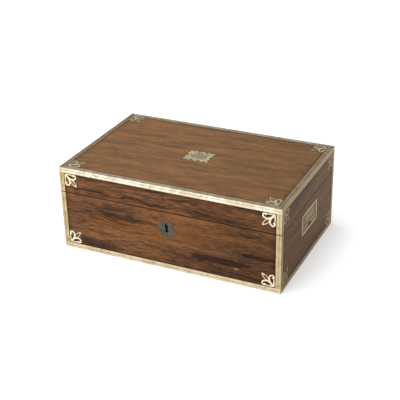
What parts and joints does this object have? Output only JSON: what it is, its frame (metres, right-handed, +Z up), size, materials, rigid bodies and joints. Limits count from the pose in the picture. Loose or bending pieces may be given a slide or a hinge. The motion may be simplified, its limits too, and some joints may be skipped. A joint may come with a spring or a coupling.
{
  "type": "dressing box",
  "caption": "Brass-bound rosewood dressing box with a hinged lid and box lock, sunken side handles, lid mirror, lift-out tray and lidded glass toilet pieces in wells.",
  "frame": {"origin": "middle of the case's plan, on the surface that the box stands on", "axes": "+X along the front to the right, +Y from the front with the lock to the hinged back, +Z up"},
  "size_m": [0.35, 0.2304, 0.133],
  "materials": {
    "rosewood": "waxed veneer, dark streaks along the grain",
    "mahogany": "plain planed carcase wood",
    "brass": "old lacquered brass, dulled in the engraved lines",
    "plated_metal": "worn silver plate",
    "dark_steel": "dark patinated steel",
    "velvet": "short pile velvet",
    "baize": "felted wool",
    "cut_glass": "clear polished glass",
    "mirror": "silvered glass"
  },
  "bodies": {
    "base": {"base_front_board": "mahogany", "base_back_board": "mahogany", "base_left_board": "mahogany", "base_right_board": "mahogany", "base_bottom_board": "mahogany", "base_veneers": "rosewood", "base_corner_strips": "brass", "base_bottom_strips": "brass", "base_corner_inlays": "brass", "base_baize": "baize", "base_screws": "brass", "keyhole_escutcheon": "dark_steel", "lock_case": "brass", "lock_cover": "brass", "lock_lever": "brass", "hinge_base_leaves": "brass", "hinge_pins": "dark_steel", "handle_plate_left": "brass", "handle_plate_right": "brass", "floor_lining": "velvet", "well_partitions": "rosewood", "well_floors": "velvet", "tray_rests": "mahogany"},
    "lid": {"lid_screws": "brass", "lid_top_board": "mahogany", "lid_front_board": "mahogany", "lid_back_board": "mahogany", "lid_left_board": "mahogany", "lid_right_board": "mahogany", "lid_veneers": "rosewood", "lid_corner_strips": "brass", "lid_top_strips": "brass", "lid_corner_inlays": "brass", "lid_cartouche": "plated_metal", "lid_lining": "velvet", "hinge_lid_leaves": "brass", "link_plate": "brass", "mirror_frame": "rosewood", "mirror_glass": "mirror"},
    "lock_bolt": {"lock_bolt": "dark_steel"},
    "handle_bail_left": {"handle_bail_left": "brass"},
    "handle_bail_right": {"handle_bail_right": "brass"},
    "mirror_button_left": {"mirror_button_left": "brass"},
    "mirror_button_right": {"mirror_button_right": "brass"},
    "tray": {"tray_bottom": "rosewood", "tray_walls": "rosewood", "tray_lining": "velvet", "ring_cushion": "velvet"},
    "brush_box_left": {"brush_box_left": "cut_glass"},
    "brush_box_lid_left": {"brush_box_lid_left": "plated_metal"},
    "brush_box_right": {"brush_box_right": "cut_glass"},
    "brush_box_lid_right": {"brush_box_lid_right": "plated_metal"},
    "powder_jar_left": {"powder_jar_left": "cut_glass"},
    "powder_jar_lid_left": {"powder_jar_lid_left": "plated_metal"},
    "powder_jar_right": {"powder_jar_right": "cut_glass"},
    "powder_jar_lid_right": {"powder_jar_lid_right": "plated_metal"},
    "scent_bottle_left": {"scent_bottle_left": "cut_glass"},
    "scent_bottle_cap_left": {"scent_bottle_cap_left": "plated_metal"},
    "scent_bottle_right": {"scent_bottle_right": "cut_glass"},
    "scent_bottle_cap_right": {"scent_bottle_cap_right": "plated_metal"}
  },
  "joints": [
    {"name": "lid_hinge", "type": "hinge", "parent": "base", "child": "lid", "pos_m": [0, 0.1152, 0.0935], "axis": [-1, 0, 0], "range_deg": [0, 100]},
    {"name": "lock_bolt_slide", "type": "slide", "parent": "base", "child": "lock_bolt", "axis": [1, 0, 0], "range_m": [0, 0.004]},
    {"name": "handle_left", "type": "hinge", "parent": "base", "child": "handle_bail_left", "pos_m": [-0.1733, 0.0035, 0.0742], "axis": [0, 1, 0], "range_deg": [0, 90]},
    {"name": "handle_right", "type": "hinge", "parent": "base", "child": "handle_bail_right", "pos_m": [0.1733, 0.0035, 0.0742], "axis": [0, -1, 0], "range_deg": [0, 90]},
    {"name": "mirror_button_left", "type": "hinge", "parent": "lid", "child": "mirror_button_left", "pos_m": [-0.1362, 0, 0.118], "axis": [0, 0, 1], "range_deg": [0, 90]},
    {"name": "mirror_button_right", "type": "hinge", "parent": "lid", "child": "mirror_button_right", "pos_m": [0.1362, 0, 0.118], "axis": [0, 0, 1], "range_deg": [0, 90]},
    {"name": "tray_lift", "type": "slide", "parent": "base", "child": "tray", "axis": [0, 0, 1], "range_m": [0, 0.022]},
    {"name": "brush_box_left_lift", "type": "slide", "parent": "base", "child": "brush_box_left", "axis": [0, 0, 1], "range_m": [0, 0.013]},
    {"name": "brush_box_lid_left_lift", "type": "slide", "parent": "brush_box_left", "child": "brush_box_lid_left", "axis": [0, 0, 1], "range_m": [0, 0.008]},
    {"name": "brush_box_right_lift", "type": "slide", "parent": "base", "child": "brush_box_right", "axis": [0, 0, 1], "range_m": [0, 0.013]},
    {"name": "brush_box_lid_right_lift", "type": "slide", "parent": "brush_box_right", "child": "brush_box_lid_right", "axis": [0, 0, 1], "range_m": [0, 0.008]},
    {"name": "powder_jar_left_lift", "type": "slide", "parent": "base", "child": "powder_jar_left", "axis": [0, 0, 1], "range_m": [0, 0.013]},
    {"name": "powder_jar_lid_left_lift", "type": "slide", "parent": "powder_jar_left", "child": "powder_jar_lid_left", "axis": [0, 0, 1], "range_m": [0, 0.008]},
    {"name": "powder_jar_right_lift", "type": "slide", "parent": "base", "child": "powder_jar_right", "axis": [0, 0, 1], "range_m": [0, 0.013]},
    {"name": "powder_jar_lid_right_lift", "type": "slide", "parent": "powder_jar_right", "child": "powder_jar_lid_right", "axis": [0, 0, 1], "range_m": [0, 0.008]},
    {"name": "scent_bottle_left_lift", "type": "slide", "parent": "base", "child": "scent_bottle_left", "axis": [0, 0, 1], "range_m": [0, 0.012]},
    {"name": "scent_bottle_cap_left_lift", "type": "slide", "parent": "scent_bottle_left", "child": "scent_bottle_cap_left", "axis": [0, 0, 1], "range_m": [0, 0.01]},
    {"name": "scent_bottle_right_lift", "type": "slide", "parent": "base", "child": "scent_bottle_right", "axis": [0, 0, 1], "range_m": [0, 0.012]},
    {"name": "scent_bottle_cap_right_lift", "type": "slide", "parent": "scent_bottle_right", "child": "scent_bottle_cap_right", "axis": [0, 0, 1], "range_m": [0, 0.01]}
  ]
}
